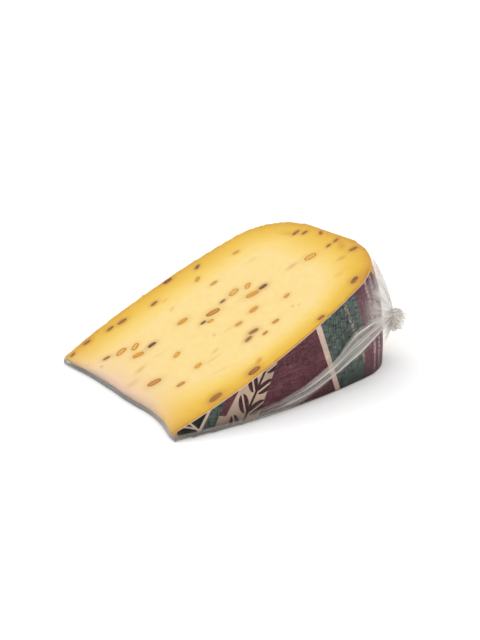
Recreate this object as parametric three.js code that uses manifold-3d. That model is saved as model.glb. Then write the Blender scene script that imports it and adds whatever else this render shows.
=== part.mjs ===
// A wedge of seeded Gouda-type cheese in cling film: millimetres, +Z up.
//
// The wedge lies on one cut face. The wheel's axis runs along Y past the wedge's tip,
// +X points from the tip to the rim, and the wheel's labelled face looks along -Y.
// Everything is first placed with the wheel's axis over x = 0 and the lower cut face at z = 0,
// and then moved so that the origin is at the middle of the whole part's underside.

import * as THREE from 'three';
import { ConvexGeometry } from 'three/addons/geometries/ConvexGeometry.js';
import { mergeVertices } from 'three/addons/utils/BufferGeometryUtils.js';
import Module from 'manifold-3d';

const wasm = await Module();
wasm.setup();

// ---------------------------------------------------------------- the wheel
const WHEEL_RADIUS = 125;
const FACE_HALF_WIDTH = 49.3; // half the wheel's width where its faces are fullest
const FULLEST_RADIUS = 48;
const FACE_DISH = 4.3; // how far each face falls again towards the wheel's centre
const SHOULDER_INSET = 25; // the shoulder starts this far inside the rim
const SHOULDER_FALL = 4.5; // and there the face has already fallen by this much
const RIM_HALF_WIDTH = 12; // half the straight band round the rim

// ---------------------------------------------------------------- the slice
const WEDGE_ANGLE = 23; // degrees, about a sixteenth of the wheel
const AXIS_HEIGHT = 2.8; // the lower cut passes this far below the wheel's axis
const TIP_LIFT = 1.5; // the thin tip curls up off the surface by this much
const TIP_LIFT_LENGTH = 45; // over this length
const TIP_SET_BACK = 0.3; // the tip's corners stop this far from the wheel's axis
const TIP_HOLLOW = 2.3; // how far the worn tip curves in between its corners

// ---------------------------------------------------------------- label and film
const LABEL_RADIUS = 122.5;
const LABEL_THICKNESS = 0.3;
const LABEL_GAP = 0.3;
const FILM_THICKNESS = 0.3;
const FILM_GAP = 0.3;
const TUFT_ANGLE = 9; // degrees round the wheel's axis from level to the tuft's root
const TUFT_TURN = 36; // degrees from straight out of the rim towards the labelled face
const TENT_HEIGHT = 4; // how far the gathered film stands off the shoulder
const NECK_RADIUS = 3;
const TUFT_LENGTH = 9;
const TUFT_RADIUS = 7;
const TUFT_FOLDS = 7;
const TUFT_FOLD_DEPTH = 0.28;

// ---------------------------------------------------------------- fenugreek seeds
const SEED_WIDTH_SHARE = 0.55;
const SEED_THICKNESS_SHARE = 0.45;
const SEED_SINK = 0.15; // share of the thickness by which a seed's middle lies under the cut
const SEED_GAP = 0.3;

// Each seed: place along the cut from the wheel's axis in per cent of the wheel's radius,
// place across it in per cent of the half width, length in mm, heading in degrees.
const UPPER_SEEDS = [
  [93.5, 31, 4.2, 0], [95, 22.5, 3.4, 0], [97.5, 6.5, 3, 60], [96.5, -17.5, 3.2, 15],
  [93, -17, 3, 10], [95.5, -43.5, 4, -20], [85, -14, 6.3, -11], [74, 64, 3.8, -5],
  [60.5, 83, 3.8, 30], [55.5, 65.5, 4.2, 40], [57, 44, 4, 0], [49, 93.5, 5, 0],
  [37.5, 75, 4, 10], [57, 13, 5.6, 14], [62, 8, 4.4, 35], [64.5, -7, 4.6, 0],
  [59.5, -6.5, 6.5, -15], [51.5, 12, 3.2, 5], [65, -39, 3.6, 15], [82.5, -79.5, 5, 20],
  [45.5, 7, 7, -12], [54, -26, 5, 5], [36.5, 24, 5.5, 0], [40, 3.5, 3, 0],
  [42, -1, 3.2, -10], [46, -29.5, 4, 0], [53.5, -58, 3.6, -5], [62.5, -91.5, 3.6, 0],
  [46, -50.5, 4.6, -10], [42.5, -54.5, 4, 10], [47.5, -62, 3, 10], [14, 42.5, 5.7, 10],
  [18.5, 36, 5.1, 31], [22.5, 23, 4.4, 0], [16.5, 23, 5.6, -20], [9, 48, 3.4, -10],
  [24.5, 82, 5, 0], [19.5, 84, 4, 10], [10, 88, 4, 0], [3, 85, 3, 20],
  [24, -11, 3.8, 20], [24.5, -41.5, 3.6, 10], [11, -23.5, 6.3, -15], [15.5, -47.5, 4, -10],
  [33, -92, 6, 0], [18, -88.5, 6, 0],
];
const LOWER_SEEDS = [
  [89.5, 27, 5.4, 20], [83, -43, 4.6, -30], [76, 71, 4, 5], [70, 4, 6, -15], [61, -67, 5, 10],
  [56, 43, 4.4, 40], [46.5, -16, 5.6, -5], [37, 60, 4.8, 15], [30.5, -60, 5.2, 0],
  [22.5, 12, 4.4, -25],
];

// ---------------------------------------------------------------- resolution of the meshes
const WHEEL_SEGMENTS = 96;
const OUTLINE_DIVISIONS = 6;
const TIP_SEGMENTS = 14;
const TUFT_SEGMENTS = 28;
const TUFT_RINGS = 5;
const NECK_SEGMENTS = 10;
const SEED_SEGMENTS = 8;
const SEED_RINGS = 5;

const slope = Math.tan(THREE.MathUtils.degToRad(WEDGE_ANGLE));
const reach = 2 * WHEEL_RADIUS; // long enough to pass right through the wheel

// How far the film's inner surface stands off the cheese over the bare rind and over the label.
const filmOverRind = FILM_GAP;
const filmOverLabel = LABEL_GAP + LABEL_THICKNESS + FILM_GAP;

// ---------------------------------------------------------------- booleans
function toSolid(geometry) {
  const bare = geometry.clone();
  bare.deleteAttribute('normal');
  bare.deleteAttribute('uv');
  const merged = mergeVertices(bare, 1e-4);
  const triangles = [];
  const index = merged.index.array;
  for (let i = 0; i < index.length; i += 3) {
    const [a, b, c] = [index[i], index[i + 1], index[i + 2]];
    if (a !== b && b !== c && a !== c) triangles.push(a, b, c);
  }
  return new wasm.Manifold(
    new wasm.Mesh({
      numProp: 3,
      vertProperties: new Float32Array(merged.attributes.position.array),
      triVerts: new Uint32Array(triangles),
    }),
  );
}

function toGeometry(solid) {
  const mesh = solid.getMesh();
  const geometry = new THREE.BufferGeometry();
  geometry.setAttribute('position', new THREE.BufferAttribute(mesh.vertProperties, 3));
  geometry.setIndex(new THREE.BufferAttribute(mesh.triVerts, 1));
  geometry.computeVertexNormals();
  return geometry;
}

// ---------------------------------------------------------------- the wheel's outline
// Half a section through the wheel: its face from the centre out, then its shoulder to the rim.
const shoulderStart = new THREE.Vector2(
  WHEEL_RADIUS - SHOULDER_INSET,
  FACE_HALF_WIDTH - SHOULDER_FALL,
);

function shoulderCurve() {
  const faceRun = (shoulderStart.x - FULLEST_RADIUS) / 2;
  const onwards = shoulderStart.clone();
  onwards.x += SHOULDER_INSET / 2;
  onwards.y -= ((SHOULDER_INSET / 2) * SHOULDER_FALL) / faceRun;
  const rimEdge = new THREE.Vector2(WHEEL_RADIUS, RIM_HALF_WIDTH);
  const overRim = rimEdge.clone();
  overRim.y += 0.6 * (shoulderStart.y - RIM_HALF_WIDTH);
  return new THREE.CubicBezierCurve(shoulderStart, onwards, overRim, rimEdge);
}

function halfOutline() {
  const centre = new THREE.Vector2(0, FACE_HALF_WIDTH - FACE_DISH);
  const fullest = new THREE.Vector2(FULLEST_RADIUS, FACE_HALF_WIDTH);
  const overDish = new THREE.Vector2(FULLEST_RADIUS / 2, FACE_HALF_WIDTH);
  const overFace = new THREE.Vector2((FULLEST_RADIUS + shoulderStart.x) / 2, FACE_HALF_WIDTH);
  const curves = new THREE.CurvePath();
  curves.add(new THREE.QuadraticBezierCurve(centre, overDish, fullest));
  curves.add(new THREE.QuadraticBezierCurve(fullest, overFace, shoulderStart));
  curves.add(shoulderCurve());
  return curves.getPoints(OUTLINE_DIVISIONS);
}

// The whole outline, from the labelled face's centre over the rim to the back's centre.
function wheelOutline() {
  const back = halfOutline();
  const front = back.map((point) => new THREE.Vector2(point.x, -point.y));
  return [...front, ...back.reverse()];
}

// The outline moved outwards: by growBack on the back, by growFront over the labelled face.
function grownOutline(growBack, growFront) {
  const points = wheelOutline();
  return points.map((point, i) => {
    const before = points[Math.max(i - 1, 0)];
    const after = points[Math.min(i + 1, points.length - 1)];
    const normal = new THREE.Vector2(after.y - before.y, before.x - after.x).normalize();
    const front = THREE.MathUtils.smoothstep(-point.y, 0, RIM_HALF_WIDTH);
    const grown = point.clone().addScaledVector(normal, growBack + (growFront - growBack) * front);
    if (i === 0 || i === points.length - 1) grown.x = 0;
    return grown;
  });
}

function wheel(growBack, growFront) {
  const lathe = new THREE.LatheGeometry(grownOutline(growBack, growFront), WHEEL_SEGMENTS);
  lathe.translate(0, 0, AXIS_HEIGHT);
  return toSolid(lathe);
}

// ---------------------------------------------------------------- the cuts
// The space between the two cut faces, each moved outwards by grow.
function betweenCuts(grow) {
  const upper = AXIS_HEIGHT + grow * Math.hypot(1, slope);
  const tip = TIP_LIFT - grow;
  const shape = new THREE.Shape();
  shape.moveTo((tip - upper) / slope, tip);
  shape.lineTo(0, tip);
  shape.quadraticCurveTo(TIP_LIFT_LENGTH / 2, -grow, TIP_LIFT_LENGTH, -grow);
  shape.lineTo(reach, -grow);
  shape.lineTo(reach, upper + reach * slope);
  const prism = new THREE.ExtrudeGeometry(shape, {
    depth: reach,
    bevelEnabled: false,
    curveSegments: OUTLINE_DIVISIONS,
  });
  prism.rotateX(Math.PI / 2);
  prism.translate(0, reach / 2, 0);
  return toSolid(prism);
}

// The space on the rim's side of the worn tip, whose plan is a shallow hollow arc.
function behindTip(grow) {
  const centreHalfWidth = FACE_HALF_WIDTH - FACE_DISH;
  const hollowRadius = (centreHalfWidth ** 2 + TIP_HOLLOW ** 2) / (2 * TIP_HOLLOW);
  const hollowCentre = TIP_SET_BACK + TIP_HOLLOW - hollowRadius;
  const side = FACE_HALF_WIDTH + FACE_DISH;
  const hollowAngle = Math.asin(side / (hollowRadius - grow));
  const shape = new THREE.Shape();
  shape.moveTo(reach, -side);
  shape.lineTo(reach, side);
  shape.absarc(hollowCentre, 0, hollowRadius - grow, hollowAngle, -hollowAngle, true);
  const block = new THREE.ExtrudeGeometry(shape, {
    depth: 2 * reach,
    bevelEnabled: false,
    curveSegments: TIP_SEGMENTS,
  });
  block.translate(0, 0, -reach);
  return toSolid(block);
}

function slice(growBack, growFront, growCut) {
  const wedge = wheel(growBack, growFront).intersect(betweenCuts(growCut));
  return wedge.intersect(behindTip(growCut));
}

// ---------------------------------------------------------------- seeds
// An oval seed lying in a cut face, larger all round by grow.
function seedBody([along, across, length, heading], upper, grow) {
  const thickness = length * SEED_THICKNESS_SHARE;
  const sink = thickness * SEED_SINK;
  const seed = new THREE.SphereGeometry(1, SEED_SEGMENTS, SEED_RINGS);
  seed.scale(
    length / 2 + grow,
    (length * SEED_WIDTH_SHARE) / 2 + grow,
    thickness / 2 + grow,
  );
  seed.rotateZ(THREE.MathUtils.degToRad(heading));
  seed.translate(
    (along / 100) * WHEEL_RADIUS,
    (across / 100) * FACE_HALF_WIDTH,
    upper ? -sink : sink,
  );
  if (upper) {
    seed.rotateY(-Math.atan(slope));
    seed.translate(0, 0, AXIS_HEIGHT);
  }
  return toSolid(seed);
}

// ---------------------------------------------------------------- film
const tuftTurn = THREE.MathUtils.degToRad(TUFT_TURN);
const tuftAxis = new THREE.Vector3(Math.cos(tuftTurn), -Math.sin(tuftTurn), 0);

// A point of the labelled side's shoulder: share along its curve, sink under its surface,
// turn round the wheel's axis in degrees.
function onShoulder(share, sink, turn) {
  const point = shoulderCurve().getPoint(share);
  const inwards = sink * Math.SQRT1_2;
  const radians = THREE.MathUtils.degToRad(turn);
  return new THREE.Vector3(
    (point.x - inwards) * Math.cos(radians),
    inwards - point.y,
    (point.x - inwards) * Math.sin(radians) + AXIS_HEIGHT,
  );
}

const tuftRoot = onShoulder(0.5, 0, TUFT_ANGLE);

// The tent that the film makes where it is drawn off the shoulder into the neck of the tuft.
function tent(sink, neckRadius, height) {
  const points = [];
  for (const turn of [1 + sink, TUFT_ANGLE, WEDGE_ANGLE - 1 - sink]) {
    for (const share of [0.3, 0.5, 0.7]) points.push(onShoulder(share, sink, turn));
  }
  const centre = tuftRoot.clone().addScaledVector(tuftAxis, height);
  const sideways = new THREE.Vector3().crossVectors(tuftAxis, new THREE.Vector3(0, 0, 1));
  for (let i = 0; i < NECK_SEGMENTS; i += 1) {
    const round = (2 * Math.PI * i) / NECK_SEGMENTS;
    const onNeck = centre.clone().addScaledVector(sideways, neckRadius * Math.cos(round));
    onNeck.z += neckRadius * Math.sin(round);
    points.push(onNeck);
  }
  return toSolid(new ConvexGeometry(points));
}

// The loose ends of the film: a thin-walled trumpet whose folds deepen towards its ragged mouth.
function tuft() {
  const flare = (t) => NECK_RADIUS + (TUFT_RADIUS - NECK_RADIUS) * t ** 1.5;
  const outer = [];
  const inner = [];
  for (let i = 0; i <= TUFT_RINGS; i += 1) {
    const t = i / TUFT_RINGS;
    outer.push(new THREE.Vector2(flare(t), TUFT_LENGTH * t));
    inner.unshift(new THREE.Vector2(flare(t) - 2 * FILM_THICKNESS, TUFT_LENGTH * t));
  }
  const trumpet = new THREE.LatheGeometry([...outer, ...inner, outer[0].clone()], TUFT_SEGMENTS);
  const place = trumpet.attributes.position;
  for (let i = 0; i < place.count; i += 1) {
    const t = place.getY(i) / TUFT_LENGTH;
    const round = Math.atan2(place.getZ(i), place.getX(i));
    const fold = 1 + TUFT_FOLD_DEPTH * t * Math.cos(TUFT_FOLDS * round);
    place.setX(i, place.getX(i) * fold * (1 - 0.3 * t));
    place.setZ(i, place.getZ(i) * fold * (1 + 0.25 * t));
    place.setY(i, place.getY(i) * (1 + 0.15 * t * Math.sin(3 * round)));
  }
  trumpet.rotateZ(-Math.PI / 2 - tuftTurn);
  const root = tuftRoot.clone().addScaledVector(tuftAxis, TENT_HEIGHT - 2 * FILM_THICKNESS);
  trumpet.translate(root.x, root.y, root.z);
  return toSolid(trumpet);
}

// The film's shell: its outer form less its inner one, open at the neck, with the tuft on it.
function film() {
  const outer = slice(
    filmOverRind + FILM_THICKNESS,
    filmOverLabel + FILM_THICKNESS,
    FILM_GAP + FILM_THICKNESS,
  ).add(tent(0, NECK_RADIUS, TENT_HEIGHT));
  const inner = slice(filmOverRind, filmOverLabel, FILM_GAP);
  const mouth = tent(2 * FILM_THICKNESS, NECK_RADIUS - 2 * FILM_THICKNESS, TENT_HEIGHT + 0.1);
  return outer.subtract(inner.add(mouth)).add(tuft());
}

// ---------------------------------------------------------------- label
// Printed paper stuck on the wheel's face and over its shoulder, cut through with the cheese.
function label() {
  const sheet = wheel(0, LABEL_GAP + LABEL_THICKNESS).subtract(wheel(0, LABEL_GAP));
  const disc = new THREE.CylinderGeometry(LABEL_RADIUS, LABEL_RADIUS, reach, WHEEL_SEGMENTS);
  disc.translate(0, -RIM_HALF_WIDTH - reach / 2, AXIS_HEIGHT);
  return sheet.intersect(toSolid(disc)).intersect(betweenCuts(0)).intersect(behindTip(0));
}

// ---------------------------------------------------------------- assembly
const cheeseMaterial = new THREE.MeshStandardMaterial({ color: 0xf3d488, roughness: 0.45 });
const seedMaterial = new THREE.MeshStandardMaterial({ color: 0xb0741f, roughness: 0.5 });
const labelMaterial = new THREE.MeshStandardMaterial({ color: 0x5a2e3e, roughness: 0.55 });
const filmMaterial = new THREE.MeshStandardMaterial({
  color: 0xeeeeea,
  roughness: 0.1,
  transparent: true,
  opacity: 0.3,
});

const part = new THREE.Group();
part.name = 'cheese_wedge';

function addPiece(name, solid, material) {
  const mesh = new THREE.Mesh(toGeometry(solid), material);
  mesh.name = name;
  part.add(mesh);
}

const block = slice(0, 0, 0);
let cheese = block;
const seeds = [
  ...UPPER_SEEDS.map((seed) => ({ seed, upper: true })),
  ...LOWER_SEEDS.map((seed) => ({ seed, upper: false })),
];
seeds.forEach(({ seed, upper }, i) => {
  cheese = cheese.subtract(seedBody(seed, upper, SEED_GAP));
  const name = `fenugreek_seed_${String(i + 1).padStart(2, '0')}`;
  addPiece(name, seedBody(seed, upper, 0).intersect(block), seedMaterial);
});
addPiece('cheese', cheese, cheeseMaterial);
addPiece('label', label(), labelMaterial);
addPiece('cling_film', film(), filmMaterial);

const extent = new THREE.Box3().setFromObject(part);
const middle = extent.getCenter(new THREE.Vector3());
part.position.set(-middle.x, -middle.y, -extent.min.z);

export default part;
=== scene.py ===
import math

import bmesh
import bpy
import numpy as np
from mathutils import Matrix, Vector, noise


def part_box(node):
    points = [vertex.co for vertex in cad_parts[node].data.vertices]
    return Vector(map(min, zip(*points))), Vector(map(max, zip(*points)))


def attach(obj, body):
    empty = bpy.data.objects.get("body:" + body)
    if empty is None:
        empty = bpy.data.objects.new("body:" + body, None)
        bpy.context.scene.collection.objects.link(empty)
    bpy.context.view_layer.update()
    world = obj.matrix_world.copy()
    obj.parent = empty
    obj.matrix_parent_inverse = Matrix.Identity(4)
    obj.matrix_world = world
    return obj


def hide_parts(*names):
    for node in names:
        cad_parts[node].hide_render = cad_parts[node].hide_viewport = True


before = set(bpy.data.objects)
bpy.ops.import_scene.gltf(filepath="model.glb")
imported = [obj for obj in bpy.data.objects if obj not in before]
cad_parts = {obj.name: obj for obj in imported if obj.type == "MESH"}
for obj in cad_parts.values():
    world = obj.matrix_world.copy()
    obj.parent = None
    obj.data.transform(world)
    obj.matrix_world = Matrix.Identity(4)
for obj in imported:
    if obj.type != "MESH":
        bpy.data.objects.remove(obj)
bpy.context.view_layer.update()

MM = 0.001

# ---------------------------------------------------------------- the wheel and the slice
WHEEL_RADIUS = 125 * MM
FACE_HALF_WIDTH = 49.3 * MM
FULLEST_RADIUS = 48 * MM
FACE_DISH = 4.3 * MM
SHOULDER_RADIUS = 100 * MM
SHOULDER_HALF_WIDTH = 44.8 * MM
RIM_HALF_WIDTH = 12 * MM
# How far the rounding between the shoulder and the rim reaches out, in and up along them.
ROUNDING_OUT = 12.5 * MM
ROUNDING_IN = 2.16 * MM
ROUNDING_UP = 19.68 * MM
AXIS_HEIGHT = 2.8 * MM
WEDGE_ANGLE = math.radians(23)
TIP_SET_BACK = 0.3 * MM
TIP_CORNER = 45 * MM
TIP_WEAR_LENGTH = 20 * MM
TIP_LIFT = 1.5 * MM
LABEL_TIP_LIFT = 1.95 * MM
FILM_TIP_LIFT = 0.1 * MM
TIP_LIFT_LENGTH = 45 * MM
TIP_WOBBLE = 0.25 * MM
# How far the thin tip is worn back, across the wedge from the label's side: mm across, mm back.
TIP_HOLLOW = [
    (-45, 0),
    (-42, 0.4),
    (-37, 1.9),
    (-32, 3.2),
    (-27, 4.1),
    (-22, 4.6),
    (-16, 4.4),
    (-10, 3.8),
    (-2, 3.4),
    (8, 3.5),
    (17, 3.3),
    (26, 2.9),
    (32, 2.1),
    (39, 1.2),
    (45, 0.5),
]
LABEL_RADIUS = 122.5 * MM
LABEL_RIM_HALF_WIDTH = 28.9 * MM
LABEL_TIP = 1.4 * MM
LABEL_TURN = math.radians(123)
LABEL_TEAR = (101.9 * MM, 0, 43.25 * MM)
LABEL_TEAR_FACING = (12.2, 0, 13.1)
LABEL_GAP = 0.1 * MM
PAPER_THICKNESS = 0.28 * MM
FILM_GAP = 0.5 * MM
FILM_GAP_OVER_LABEL = 0.95 * MM
# The edge length of the even meshes.
CHEESE_MESH = 0.85 * MM
FILM_MESH = 1.1 * MM

cheese_low, cheese_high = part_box("cheese")
# The wheel's axis, level with the middle of the wedge's width: most shapes are made around it.
AXIS = Vector(
    (
        cheese_low.x - TIP_SET_BACK,
        (cheese_low.y + cheese_high.y) / 2,
        cheese_low.z + AXIS_HEIGHT,
    )
)
PLACE = Matrix.Translation(AXIS)
UP_THE_CUT = Vector((math.cos(WEDGE_ANGLE), 0, math.sin(WEDGE_ANGLE)))
CUT_FACING = Vector((-math.sin(WEDGE_ANGLE), 0, math.cos(WEDGE_ANGLE)))


# ---------------------------------------------------------------- camera, floor and light
CAMERA_TURN = math.radians(-36.27)
CAMERA_RISE = math.radians(21.28)
CAMERA_LENS = 57.82
# Where the camera looks and how far off it stands, in mm.
CAMERA_AIM = Vector((-0.77, 0.01, 20.6))
CAMERA_DISTANCE = 450
TABLE_HALF_SIZE = 4
WALL_LIGHT = 0.12
CEILING_LIGHT = 1.2
# Name, place and size in metres, and power in watts.
SOFTBOXES = [("overhead softbox", (-0.4, 0.35, 1.1), (1.4, 1.4), 4.4)]


def studio():
    """The camera, a white table and soft white light from above."""
    scene = bpy.context.scene
    scene.view_settings.view_transform = "Standard"
    back = Vector(
        (
            math.sin(CAMERA_TURN) * math.cos(CAMERA_RISE),
            -math.cos(CAMERA_TURN) * math.cos(CAMERA_RISE),
            math.sin(CAMERA_RISE),
        )
    )
    lens = bpy.data.cameras.new("camera")
    lens.lens = CAMERA_LENS
    camera = bpy.data.objects.new("camera", lens)
    camera.location = CAMERA_AIM * MM + back * CAMERA_DISTANCE * MM
    camera.rotation_euler = (-back).to_track_quat("-Z", "Y").to_euler()
    scene.collection.objects.link(camera)
    scene.camera = camera

    world = bpy.data.worlds.new("white room")
    world.use_nodes = True
    tree = world.node_tree
    tree.nodes.clear()
    # The white ceiling is much brighter than the walls, which only the lens sees as white.
    towards = add(tree, "ShaderNodeTexCoord", out="Generated")
    height = add(tree, "ShaderNodeSeparateXYZ", {"Vector": towards}, out="Z")
    strength = add(
        tree,
        "ShaderNodeMapRange",
        {"Value": height, "From Max": 0.5, "To Min": WALL_LIGHT, "To Max": CEILING_LIGHT},
    )
    seen = add(tree, "ShaderNodeLightPath", out="Is Camera Ray")
    strength = add(tree, "ShaderNodeMath", {0: strength, 1: seen}, operation="MAXIMUM")
    room = add(tree, "ShaderNodeBackground", {"Color": linear("#FFFFFF"), "Strength": strength})
    add(tree, "ShaderNodeOutputWorld", {"Surface": room})
    scene.world = world
    for name, place, size, power in SOFTBOXES:
        light = bpy.data.lights.new(name, "AREA")
        light.shape = "RECTANGLE"
        light.size, light.size_y = size
        light.energy = power
        lamp = bpy.data.objects.new(name, light)
        lamp.location = place
        lamp.rotation_euler = (-Vector(place)).to_track_quat("-Z", "Y").to_euler()
        scene.collection.objects.link(lamp)

    bm = bmesh.new()
    bmesh.ops.create_grid(bm, x_segments=1, y_segments=1, size=TABLE_HALF_SIZE)
    table = mesh_piece(bm, "table", [white_table()])


# ---------------------------------------------------------------- materials
def linear(hex_colour):
    """An sRGB hex colour as linear RGBA."""
    values = [int(hex_colour[i : i + 2], 16) / 255 for i in (1, 3, 5)]
    return (*[v / 12.92 if v <= 0.04045 else ((v + 0.055) / 1.055) ** 2.4 for v in values], 1)


def add(tree, kind, inputs=None, out=0, stops=(), **settings):
    """Adds one node with its settings, values and links, and gives one of its outputs.

    The stops of a colour ramp are (place, hex colour).
    """
    made = tree.nodes.new(kind)
    for name, value in settings.items():
        setattr(made, name, value)
    for name, value in (inputs or {}).items():
        if isinstance(value, bpy.types.NodeSocket):
            tree.links.new(value, made.inputs[name])
        else:
            made.inputs[name].default_value = value
    if stops:
        steps = made.color_ramp.elements
        while len(steps) < len(stops):
            steps.new(1)
        for step, (place, hex_colour) in zip(steps, stops):
            step.position = place
            step.color = linear(hex_colour)
    return made.outputs[out] if made.outputs else made


def new_material(name):
    """An empty material and its node tree."""
    material = bpy.data.materials.new(name)
    material.use_nodes = True
    material.node_tree.nodes.clear()
    return material, material.node_tree


def white_table():
    # Matt white laminate, pressed: pure white, with a soft shadow round the wedge and a grain
    # about a millimetre across.
    material, tree = new_material("matt_white_laminate")
    grain = add(tree, "ShaderNodeTexNoise", {"Scale": 900, "Detail": 3})
    surface = add(
        tree,
        "ShaderNodeBsdfPrincipled",
        {
            "Base Color": linear("#FAFAFA"),
            "Roughness": 0.7,
            "Specular IOR Level": 0.2,
            "Normal": add(tree, "ShaderNodeBump", {"Height": grain, "Strength": 0.02}),
        },
    )
    add(tree, "ShaderNodeOutputMaterial", {"Surface": surface})
    return material


def wheel_millimetres(tree):
    """The place on the wedge in millimetres from the wheel's axis."""
    return add(
        tree,
        "ShaderNodeMapping",
        {
            "Vector": add(tree, "ShaderNodeTexCoord", out="Object"),
            "Location": -AXIS / MM,
            "Scale": (1 / MM, 1 / MM, 1 / MM),
        },
    )


def cheese_paste():
    # Semi-hard cheese paste, cut by wire: matt-satin and slightly see-through, pale at the heart
    # and golden to amber towards the rind, with faint stains where seeds lie under the surface.
    material, tree = new_material("cut_gouda_paste")
    place = wheel_millimetres(tree)
    depth = add(tree, "ShaderNodeAttribute", attribute_name="depth", out="Fac")
    # Patches about 17 mm across where the golden zone reaches further in or less far.
    cloud = add(tree, "ShaderNodeTexNoise", {"Vector": place, "Scale": 0.06, "Detail": 3})
    uneven = add(
        tree, "ShaderNodeMath", {0: cloud, 1: 0.16, 2: -0.08}, operation="MULTIPLY_ADD"
    )
    depth = add(tree, "ShaderNodeMath", {0: depth, 1: uneven}, operation="ADD", use_clamp=True)
    paste = add(tree, "ShaderNodeValToRGB", {"Fac": depth}, stops=PASTE_COLOURS)
    # Mottling of the curd about 3 mm across.
    mottle = add(tree, "ShaderNodeTexNoise", {"Vector": place, "Scale": 0.35, "Detail": 4})
    mottle = add(
        tree,
        "ShaderNodeMapRange",
        {"Value": mottle, "From Min": 0.35, "From Max": 0.7, "To Min": 0, "To Max": 0.22},
    )
    paste = add(
        tree,
        "ShaderNodeMix",
        {0: mottle, 6: paste, 7: linear("#DDB562")},
        out=2,
        data_type="RGBA",
    )
    for name, hex_colour in STAINS:
        stain = add(tree, "ShaderNodeAttribute", attribute_name=name, out="Fac")
        paste = add(
            tree,
            "ShaderNodeMix",
            {0: stain, 6: paste, 7: linear(hex_colour)},
            out=2,
            data_type="RGBA",
        )
    skin = add(tree, "ShaderNodeAttribute", attribute_name="skin", out="Fac")
    # The yellow coating on the rind: shelf marks some centimetres across, and a fine bloom.
    shelf = add(tree, "ShaderNodeTexNoise", {"Vector": place, "Scale": 0.045, "Detail": 6})
    bloom = add(tree, "ShaderNodeTexNoise", {"Vector": place, "Scale": 1.4, "Detail": 3})
    coating = add(
        tree, "ShaderNodeMath", {0: bloom, 1: 0.25, 2: shelf}, operation="MULTIPLY_ADD"
    )
    rind = add(tree, "ShaderNodeValToRGB", {"Fac": coating}, stops=RIND_COLOURS)
    colour = add(tree, "ShaderNodeMix", {0: skin, 6: paste, 7: rind}, out=2, data_type="RGBA")
    # A fine curd grain of about half a millimetre, and knife drag a few millimetres apart.
    grain = add(tree, "ShaderNodeTexNoise", {"Vector": place, "Scale": 1.6, "Detail": 4})
    drag = add(tree, "ShaderNodeTexNoise", {"Vector": place, "Scale": 0.18, "Detail": 2})
    height = add(
        tree, "ShaderNodeMath", {0: grain, 1: 0.12, 2: drag}, operation="MULTIPLY_ADD"
    )
    roughness = add(
        tree,
        "ShaderNodeMapRange",
        {"Value": mottle, "From Min": 0, "From Max": 0.22, "To Min": 0.36, "To Max": 0.48},
    )
    surface = add(
        tree,
        "ShaderNodeBsdfPrincipled",
        {
            "Base Color": colour,
            "Roughness": roughness,
            "IOR": 1.45,
            "Specular IOR Level": 0.2,
            "Subsurface Weight": 0.35,
            "Subsurface Radius": (1, 0.6, 0.22),
            "Subsurface Scale": 3 * MM,
            "Normal": add(
                tree, "ShaderNodeBump", {"Height": height, "Strength": 0.35, "Distance": 0.5 * MM}
            ),
        },
    )
    add(tree, "ShaderNodeOutputMaterial", {"Surface": surface})
    return material


# Depth runs from 0 at the rind to 1 at the pale heart, as deep under it as the golden zone goes.
GOLDEN_ZONE = 25 * MM
PASTE_COLOURS = [
    (0.0, "#A87418"),
    (0.05, "#BF8E1A"),
    (0.16, "#CFA120"),
    (0.4, "#DAB23C"),
    (0.7, "#E2C368"),
    (1.0, "#E4CA86"),
]
RIND_COLOURS = [(0.48, "#B67A1C"), (0.62, "#C98F2A"), (0.78, "#D8A43A")]
STAINS = [("tip", "#D6B69E"), ("amber", "#C4821C"), ("bruise", "#A4602C")]


def cut_seed(name, coat, kernel):
    # Whole fenugreek seed soaked in the paste and cut through: a darker glossy coat round a
    # paler, slightly waxy kernel.
    material, tree = new_material(f"fenugreek_{name}")
    place = wheel_millimetres(tree)
    depth = add(tree, "ShaderNodeAttribute", attribute_name="kernel", out="Fac")
    # Mottling about half a millimetre across.
    mottle = add(tree, "ShaderNodeTexNoise", {"Vector": place, "Scale": 1.8, "Detail": 3})
    depth = add(
        tree, "ShaderNodeMath", {0: mottle, 1: 0.7, 2: depth}, operation="MULTIPLY_ADD"
    )
    depth = add(tree, "ShaderNodeMath", {0: depth, 1: 0.35}, operation="SUBTRACT")
    colour = add(tree, "ShaderNodeValToRGB", {"Fac": depth}, stops=[(0.2, coat), (0.8, kernel)])
    surface = add(
        tree,
        "ShaderNodeBsdfPrincipled",
        {
            "Base Color": colour,
            "Roughness": add(
                tree,
                "ShaderNodeMapRange",
                {"Value": mottle, "To Min": 0.25, "To Max": 0.5},
            ),
            "IOR": 1.48,
            "Specular IOR Level": 0.15,
            "Subsurface Weight": 0.15,
            "Subsurface Radius": (1, 0.5, 0.2),
            "Subsurface Scale": 1 * MM,
            "Normal": add(
                tree, "ShaderNodeBump", {"Height": mottle, "Strength": 0.3, "Distance": 0.1 * MM}
            ),
        },
    )
    add(tree, "ShaderNodeOutputMaterial", {"Surface": surface})
    return material


# ---------------------------------------------------------------- meshes
def mesh_piece(bm, name, materials, smooth=False):
    """Turns a bmesh into an object at the origin."""
    mesh = bpy.data.meshes.new(name)
    bm.to_mesh(mesh)
    bm.free()
    for material in materials:
        mesh.materials.append(material)
    if smooth:
        mesh.shade_smooth()
    piece = bpy.data.objects.new(name, mesh)
    bpy.context.scene.collection.objects.link(piece)
    return piece


def curve_points(controls, steps):
    """Points along the Bezier curve that its controls give."""
    points = []
    for i in range(steps + 1):
        layer = [Vector(c) for c in controls]
        while len(layer) > 1:
            layer = [a.lerp(b, i / steps) for a, b in zip(layer, layer[1:])]
        points.append(layer[0])
    return points


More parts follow.
